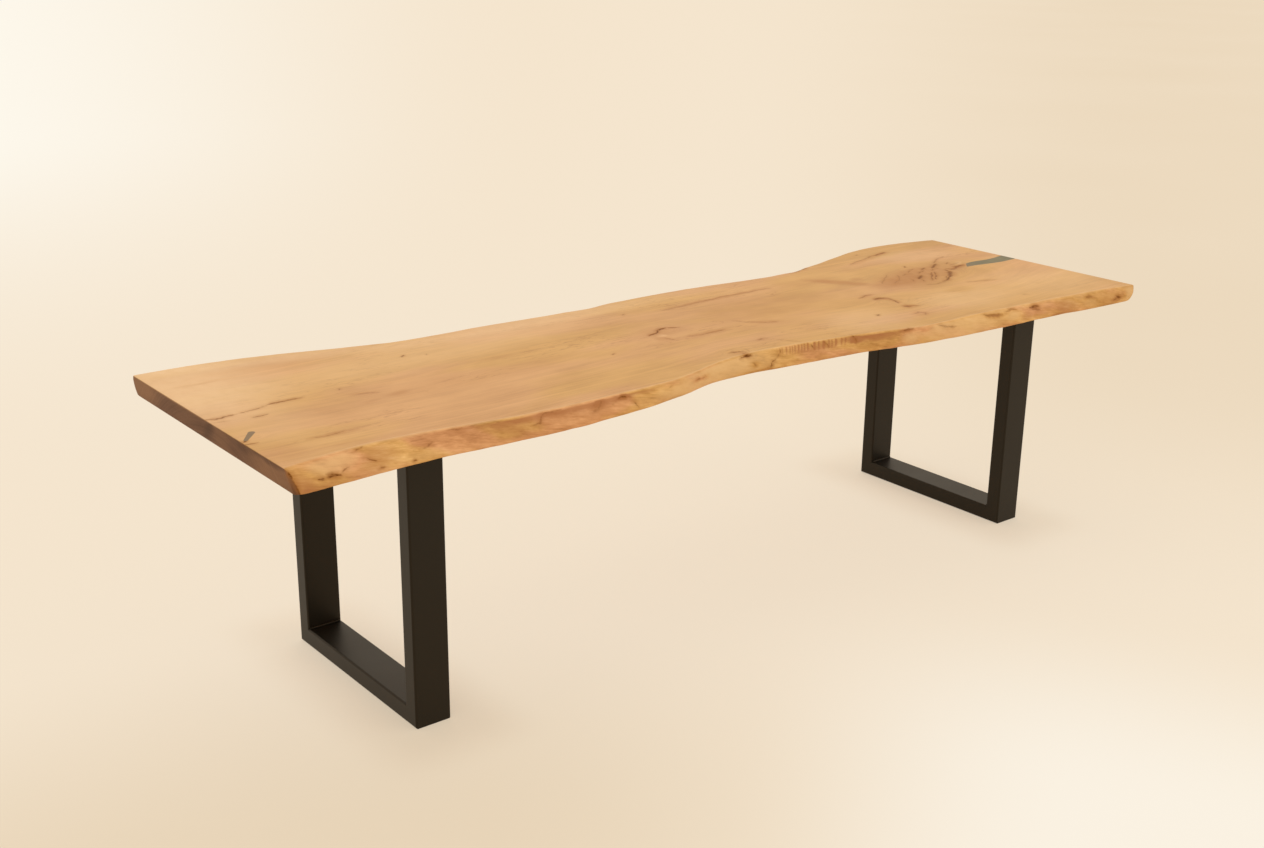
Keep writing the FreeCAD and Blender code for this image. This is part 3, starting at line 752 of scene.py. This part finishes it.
# The eased front arris gets a painted highlight, paler where it catches the light, but for the brown stretch
# beside the washboard and the left corner.
painted_arris_highlight = 0.5 - 0.45 * bump(x, 350, 170) - 0.4 * bump(x, -1410, 130)
tint += painted_arris_highlight * fade(front_gap, 1.0, 5.0) * fade(depth, 1.2, 3.6)
carried = {"mark": mark, "stain": stain, "skin": skin, "sawn": sawn, "tint": np.clip(tint, -1, 1)}
for name, values in carried.items():
    layer = cut.attributes.new(name, "FLOAT", "POINT")
    layer.data.foreach_set("value", values.astype(np.float32))

wood = Finish("oiled_wood")
place = wood.add("TexCoord", {}, {}, "Object")
along = wood.add("SeparateXYZ", {}, {0: place})
across = along.also("Y")
level = along.also("Z")
wander = wood.clouds(place, (0.9, 1.6, 1.6), 2.0)
flow = across + (wander - 0.5) * 0.16
# The grain parts round the burl and the knots like a stream round stones.
KNOTS = [(1.03, 0.03, 0.105), (-0.11, 0.006, 0.030), (0.66, -0.15, 0.045), (-1.40, -0.155, 0.018),
         (1.12, 0.33, 0.025), (-0.09, -0.28, 0.03)]
for knot_x, knot_y, size in KNOTS:
    ahead = along - knot_x
    aside = across - knot_y
    flow = flow - aside * (size * size) / (ahead * ahead * 0.45 + aside * aside + size * size * 0.35)
lift = level - 0.36 + (wood.clouds(place, (1.1, 0.4, 0.4), 1.0) - 0.5) * 0.14
ring_place = (flow * flow + lift * lift) ** 0.5
ring_spread = {"W": ring_place * 150.0, "Scale": 1.0, "Detail": 2.0}
rings = wood.add("TexNoise", {"noise_dimensions": "1D"}, ring_spread)
grain = wood.add("CombineXYZ", {}, {0: along, 1: flow, 2: level})
streaks = wood.clouds(grain, (2.2, 62.0, 62.0), 4.0, 0.55)
fibres = wood.clouds(grain, (9.0, 420.0, 420.0), 3.0, 0.6)
bands = wood.clouds(grain, (0.8, 7.0, 7.0), 2.0)
figure = wood.clouds(grain, (4.0, 8.0, 8.0), 4.0, 0.6)
tone = 0.5 + 0.36 * (bands - 0.5) + 0.18 * (rings - 0.5) + 0.24 * (streaks - 0.5)
tone = tone + 0.40 * (fibres - 0.5) + 0.50 * (figure - 0.5)
heart = wood.add("ValToRGB", {"stops": [
    (0.18, srgb(184, 136, 88)), (0.38, srgb(200, 150, 96)), (0.52, srgb(211, 162, 106)),
    (0.68, srgb(220, 173, 116)), (0.88, srgb(231, 189, 134))]}, {0: tone})
# The board drifts between a pinker and a yellower brown, and here and there fine wavy growth lines show.
warmth = wood.rise(wood.clouds(grain, (1.7, 5.0, 5.0), 2.0), 0.40, 0.60)
heart = wood.blend(0.5 * warmth, heart, srgb(221, 168, 123), "COLOR")
heart = wood.blend(0.5 * (1 - warmth), heart, srgb(214, 168, 105), "COLOR")
waves = wood.clouds(grain, (6.0, 48.0, 48.0), 3.0)
lines = wood.rise(wood.maths("ABSOLUTE", waves - 0.5) * -1, -0.022, 0.0)
showing = wood.rise(wood.clouds(grain, (2.6, 6.0, 6.0), 2.0), 0.48, 0.60)
heart = wood.blend(lines * showing * 0.38, heart, srgb(160, 108, 66))
# Sapwood skin: golden, in long slanting streaks
slanting = wood.add("CombineXYZ", {}, {0: along, 1: across, 2: level + along * 0.18})
patches = wood.clouds(slanting, (6.0, 6.0, 28.0), 4.0, 0.6)
flecks = wood.clouds(slanting, (26.0, 26.0, 90.0), 4.0, 0.6)
skin_fibres = wood.clouds(slanting, (14.0, 260.0, 260.0), 3.0, 0.6)
skin_tone = 0.51 + 1.05 * (patches - 0.5) + 0.60 * (flecks - 0.5) + 0.50 * (skin_fibres - 0.5)
sapwood = wood.add("ValToRGB", {"stops": [
    (0.16, srgb(168, 104, 50)), (0.36, srgb(199, 140, 79)), (0.52, srgb(215, 159, 97)),
    (0.66, srgb(228, 178, 118)), (0.84, srgb(242, 202, 150))]}, {0: skin_tone})
# It is pinker along the left half and more golden at the right end.
pinker = wood.rise(along, -1.12, -1.0) - wood.rise(along, -0.62, -0.48) - 0.7 * wood.rise(along, 1.0, 1.1)
flushes = wood.clouds(slanting, (5.0, 5.0, 16.0), 2.0)
blush = wood.rise(flushes + 0.13 * pinker, 0.42, 0.60)
sapwood = wood.blend(0.55 * blush, sapwood, srgb(212, 148, 104), "COLOR")
sapwood = wood.blend(0.50 * (1 - blush), sapwood, srgb(230, 177, 98), "COLOR")
# End grain drinks more oil, so it is darker, with the growth rings drawn as faint arcs.
pores = wood.clouds(place, (60.0, 700.0, 700.0), 2.0)
end_tone = 0.5 + 0.4 * (rings - 0.5) + 0.5 * (patches - 0.5) + 0.4 * (pores - 0.5)
end_grain = wood.add("ValToRGB", {"stops": [
    (0.25, srgb(92, 63, 43)), (0.50, srgb(112, 78, 56)), (0.78, srgb(132, 97, 70))]}, {0: end_tone})
skin_share = wood.shares("skin")
sawn_share = wood.shares("sawn")
tone_and_painted_light = wood.shares("tint")
ragged = 0.65 + 0.7 * flecks
# The paler side includes the painted highlight and sheen, the browner side the painted shade along the lower
# edge
paler_and_painted_highlight = wood.maths("MAXIMUM", tone_and_painted_light, 0.0) * ragged
browner_and_painted_shade = wood.maths("MAXIMUM", tone_and_painted_light * -1, 0.0) * ragged
heart = wood.blend(paler_and_painted_highlight * 0.85, heart, srgb(237, 198, 152))
heart = wood.blend(browner_and_painted_shade * 0.85, heart, srgb(183, 128, 78))
sapwood = wood.blend(paler_and_painted_highlight * 0.82, sapwood, srgb(231, 186, 128))
sapwood = wood.blend(browner_and_painted_shade * 0.85, sapwood, srgb(174, 112, 66))
end_grain = wood.blend(paler_and_painted_highlight * 0.8, end_grain, srgb(164, 120, 84))
end_grain = wood.blend(browner_and_painted_shade * 0.8, end_grain, srgb(84, 58, 40))
colour = wood.blend(skin_share, heart, sapwood)
colour = wood.blend(sawn_share, colour, end_grain)
stain_share = wood.shares("stain")
colour = wood.blend(stain_share * (0.25 + 0.7 * flecks), colour, srgb(160, 98, 38))
mark_share = wood.shares("mark")
# Marks break up into fine dark threads.
threads = wood.clouds(slanting, (90.0, 240.0, 240.0), 3.0, 0.6)
dark = wood.blend(skin_share, srgb(112, 62, 10), srgb(116, 64, 8))
colour = wood.blend(mark_share * (0.7 + 0.7 * wood.rise(threads, 0.38, 0.58)), colour, dark)
wood.fill(wood.shader["Base Color"], colour)
wood.fill(wood.shader["Roughness"], 0.44 + 0.16 * fibres)
wood.shader["Specular IOR Level"].default_value = 0.08
wood.relief(fibres + 0.6 * streaks, 0.14, 0.0008)
cut.materials.clear()
cut.materials.append(wood.material)


# ---- Resin fills -------------------------------------------------------------------------------------
# Grey-green casting resin, poured into the routed pockets, then sanded flush with the slab and polished.

def dress(node, finish):
    """Gives a node's own solids a finish."""
    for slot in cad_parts[node].material_slots:
        slot.material = finish.material


resin = Finish("grey_green_resin")
place = resin.add("TexCoord", {}, {}, "Object")
swirl = resin.clouds(place, (14.0, 40.0, 40.0), 4.0, 0.6)
haze = resin.clouds(place, 160.0, 2.0)
along = resin.add("SeparateXYZ", {}, {0: place})
tint = resin.blend(resin.rise(swirl + 0.2 * (haze - 0.5), 0.3, 0.7), srgb(89, 81, 42), srgb(105, 96, 56))
# Thin over the wood at its tip, and in the shallow knot, it takes on the wood's brown.
tint = resin.blend((1 - resin.rise(along + 0.03 * swirl, 1.20, 1.32)) * 0.85, tint, srgb(108, 84, 52))
tint = resin.blend(0.6 - 0.6 * resin.rise(along, -0.1, 0.1), tint, srgb(138, 107, 71))
resin.fill(resin.shader["Base Color"], tint)
resin.fill(resin.shader["Roughness"], 0.26 + 0.1 * haze)
resin.shader["Specular IOR Level"].default_value = 0.16
for node in FILLS:
    dress(node, resin)


# ---- Leg frames --------------------------------------------------------------------------------------
# Rectangular steel tube, mitred and welded into a U with a flat plate across the top, blasted and coated
# with satin black powder. The coat lies in a very fine orange peel.

powder = Finish("satin_black_powder")
place = powder.add("TexCoord", {}, {}, "Object")
peel = powder.clouds(place, 420.0, 2.0)
cloudy = powder.clouds(place, 6.0, 3.0)
shade = powder.blend(cloudy, srgb(14, 11, 7), srgb(23, 18, 12))
powder.fill(powder.shader["Base Color"], shade)
powder.fill(powder.shader["Roughness"], 0.36 + 0.12 * cloudy)
powder.shader["Specular IOR Level"].default_value = 0.30
powder.shader["Specular Tint"].default_value = srgb(255, 234, 202)
powder.relief(peel, 0.12, 0.0004)
SIDES = ("left_leg", "right_leg")
for side in SIDES:
    for part in ("_front_post", "_back_post", "_bottom_rail", "_top_plate"):
        dress(side + part, powder)


# ---- Weld beads --------------------------------------------------------------------------------------
# Fillet beads laid by hand, each a row of overlapping ripples: one across each inner corner of the U, and
# three under the plate at each post. They are coated together with the frames.

RIPPLE_PITCH = 0.0024
TUBE_CORNER = 0.005
CORNER_BEAD = 0.005
PLATE_BEAD = 0.004


def lay_bead(mesh, middle, length, run, out, up, size):
    """One rippled bead along run, in the corner between the faces that look along out and up."""
    steps = round(length / RIPPLE_PITCH) * 6
    bead = bmesh.new()
    bmesh.ops.create_cone(bead, cap_ends=True, segments=20, radius1=1, radius2=1, depth=1)
    sides = [e for e in bead.edges if abs(e.verts[0].co.z - e.verts[1].co.z) > 0.5]
    bmesh.ops.subdivide_edges(bead, edges=sides, cuts=steps - 1)
    run, out, up = Vector(run), Vector(out), Vector(up)
    corner = Vector(middle)
    for vertex in bead.verts:
        share = vertex.co.z + 0.5
        turn = math.atan2(vertex.co.y, vertex.co.x)
        # Ripples bow back at the bead's toes, and each is a little different from the last.
        walk = share * length / RIPPLE_PITCH + 0.35 * math.cos(2 * (turn - math.pi / 4))
        ripple = 0.05 * (abs(math.sin(walk * math.pi)) + noise.noise((walk * 0.7, turn, middle[0] * 9)))
        end_gap = min(share, 1 - share) * length
        taper = 0.72 + 0.28 * min(end_gap / size, 1) ** 0.5
        radius = size * 0.68 * (0.97 + ripple) * taper
        centre = size * 0.26
        aside = out * (centre + radius * math.cos(turn)) + up * (centre + radius * math.sin(turn))
        vertex.co = corner + run * ((share - 0.5) * length) + aside
    bmesh.ops.recalc_face_normals(bead, faces=bead.faces)
    for face in bead.faces:
        face.smooth = len(face.verts) == 4
    take_in(mesh, bead)


for side in SIDES:
    post_low, post_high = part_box(side + "_front_post")
    back_low, back_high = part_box(side + "_back_post")
    rail_low, rail_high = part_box(side + "_bottom_rail")
    frame_x = (post_low.x + post_high.x) / 2
    across = post_high.x - post_low.x - 2 * TUBE_CORNER
    deep = post_high.y - post_low.y - 2 * TUBE_CORNER
    beads = bmesh.new()
    corner = (frame_x, post_high.y, rail_high.z)
    lay_bead(beads, corner, across, (1, 0, 0), (0, 1, 0), (0, 0, 1), CORNER_BEAD)
    corner = (frame_x, back_low.y, rail_high.z)
    lay_bead(beads, corner, across, (1, 0, 0), (0, -1, 0), (0, 0, 1), CORNER_BEAD)
    corner_beads = make_piece(side + "_corner_beads", beads)
    corner_beads.data.materials.append(powder.material)
    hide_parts(side + "_corner_welds")
    beads = bmesh.new()
    posts = [(post_low, post_high, post_high.y, 1), (back_low, back_high, back_low.y, -1)]
    for low, high, inner, out in posts:
        middle_y = (low.y + high.y) / 2
        lay_bead(beads, (frame_x, inner, high.z), across, (1, 0, 0), (0, out, 0), (0, 0, -1), PLATE_BEAD)
        lay_bead(beads, (low.x, middle_y, high.z), deep, (0, 1, 0), (-1, 0, 0), (0, 0, -1), PLATE_BEAD)
        lay_bead(beads, (high.x, middle_y, high.z), deep, (0, 1, 0), (1, 0, 0), (0, 0, -1), PLATE_BEAD)
    plate_beads = make_piece(side + "_plate_beads", beads)
    plate_beads.data.materials.append(powder.material)
    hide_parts(side + "_plate_welds")


# ---- Floor glides ------------------------------------------------------------------------------------
# Thin moulded pads stuck under the rail near its ends, with a rounded rim.

GLIDE_LENGTH = 0.060
GLIDE_CORNER = 0.005
GLIDE_RIM = 0.0005
rubber = Finish("moulded_glide")
place = rubber.add("TexCoord", {}, {}, "Object")
speckle = rubber.clouds(place, 900.0, 2.0)
rubber.fill(rubber.shader["Base Color"], rubber.blend(speckle, srgb(26, 26, 26), srgb(44, 43, 42)))
rubber.fill(rubber.shader["Roughness"], 0.6 + 0.2 * speckle)
rubber.relief(speckle, 0.2, 0.0003)
for side in SIDES:
    low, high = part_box(side + "_floor_glides")
    size = Matrix.Diagonal((high.x - low.x, GLIDE_LENGTH, high.z - low.z, 1))
    pads = bmesh.new()
    for middle_y in (low.y + GLIDE_LENGTH / 2, high.y - GLIDE_LENGTH / 2):
        middle = Matrix.Translation(((low.x + high.x) / 2, middle_y, (low.z + high.z) / 2))
        bmesh.ops.create_cube(pads, size=1.0, matrix=middle @ size)
    upright = [e for e in pads.edges if abs(e.verts[0].co.z - e.verts[1].co.z) > 0.001]
    bmesh.ops.bevel(pads, geom=upright, offset=GLIDE_CORNER, affect="EDGES", segments=6, profile=0.5,
                    material=-1)
    rims = [e for e in pads.edges if abs(e.verts[0].co.z - e.verts[1].co.z) < 1e-6 and e.is_manifold
            and e.calc_face_angle() > 1]
    bmesh.ops.bevel(pads, geom=rims, offset=GLIDE_RIM, affect="EDGES", segments=3, profile=0.5, material=-1)
    glides = make_piece(side + "_glide_pads", pads)
    glides.data.materials.append(rubber.material)
    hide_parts(side + "_floor_glides")


# ---- Fasteners ---------------------------------------------------------------------------------------
# Bright zinc-plated M8 hex bolts with wide washers, run up through the plate's slots into threaded inserts
# in the slab. The heads are chamfered to a round face.

zinc = Finish("bright_zinc")
place = zinc.add("TexCoord", {}, {}, "Object")
bloom = zinc.clouds(place, 260.0, 4.0, 0.6)
zinc.fill(zinc.shader["Base Color"], zinc.blend(bloom, srgb(176, 178, 182), srgb(214, 215, 214)))
zinc.fill(zinc.shader["Roughness"], 0.26 + 0.22 * bloom)
zinc.shader["Metallic"].default_value = 1.0
HEAD_ACROSS_FLATS = 0.013
HEAD_HEIGHT = 0.0053
HEAD_FACE = 0.0060
CHAMFER_SLOPE = 0.55
SHANK = 0.004
# A washer's section, rolled over at its rim: radius and height
WASHER_SECTION = [(0.0042, 0), (0.0114, 0), (0.0120, 0.0006), (0.0120, 0.0014), (0.0114, 0.0020),
                  (0.0042, 0.0020)]
for side in SIDES:
    low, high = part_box(side + "_bolts")
    corner = HEAD_ACROSS_FLATS / math.sqrt(3)
    seat = low.z + HEAD_HEIGHT
    bolts = bmesh.new()
    washers = bmesh.new()
    for x in (low.x + corner, high.x - corner):
        for y in (low.y + HEAD_ACROSS_FLATS / 2, high.y - HEAD_ACROSS_FLATS / 2):
            head = bmesh.new()
            bmesh.ops.create_cone(head, cap_ends=True, segments=48, radius1=corner, radius2=corner,
                                  depth=HEAD_HEIGHT)
            under = [f for f in head.faces if f.normal.z < -0.9]
            bmesh.ops.inset_region(head, faces=under, thickness=corner - HEAD_FACE, use_even_offset=False)
            for vertex in head.verts:
                turn = math.atan2(vertex.co.y, vertex.co.x)
                flat = math.radians((math.degrees(turn) % 60) - 30)
                edge = HEAD_ACROSS_FLATS / 2 / math.cos(flat)
                if vertex.co.xy.length > HEAD_FACE + 0.0003:
                    vertex.co.x = edge * math.cos(turn)
                    vertex.co.y = edge * math.sin(turn)
                    if vertex.co.z < 0:
                        vertex.co.z += (edge - HEAD_FACE) * CHAMFER_SLOPE
            upper = [f for f in head.faces if f.normal.z > 0.9]
            bmesh.ops.inset_region(head, faces=upper, thickness=corner - SHANK * 1.15)
            for vertex in [v for f in upper for v in f.verts]:
                turn = math.atan2(vertex.co.y, vertex.co.x)
                vertex.co.x = SHANK * math.cos(turn)
                vertex.co.y = SHANK * math.sin(turn)
            raised = bmesh.ops.extrude_face_region(head, geom=upper)
            tip = [v for v in raised["geom"] if isinstance(v, bmesh.types.BMVert)]
            bmesh.ops.delete(head, geom=upper, context="FACES_ONLY")
            bmesh.ops.translate(head, verts=tip, vec=(0, 0, high.z - seat))
            bmesh.ops.translate(head, verts=head.verts, vec=(x, y, seat - HEAD_HEIGHT / 2))
            bmesh.ops.recalc_face_normals(head, faces=head.faces)
            take_in(bolts, head)
            profile = [washers.verts.new((x + radius, y, seat + height)) for radius, height in WASHER_SECTION]
            loop = [washers.edges.new(pair) for pair in zip(profile, profile[1:] + profile[:1])]
            bmesh.ops.spin(washers, geom=profile + loop, cent=(x, y, 0), axis=(0, 0, 1), angle=2 * math.pi,
                           steps=48, use_merge=True)
    bmesh.ops.remove_doubles(washers, verts=washers.verts, dist=1e-6)
    bmesh.ops.recalc_face_normals(washers, faces=washers.faces)
    for mesh, name, node in ((bolts, "_hex_bolts", "_bolts"), (washers, "_wide_washers", "_washers")):
        fastener = make_piece(side + name, mesh)
        fastener.data.shade_smooth()
        fastener.data.set_sharp_from_angle(angle=math.radians(25))
        fastener.data.materials.append(zinc.material)
        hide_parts(side + node)
    dress(side + "_threaded_inserts", zinc)
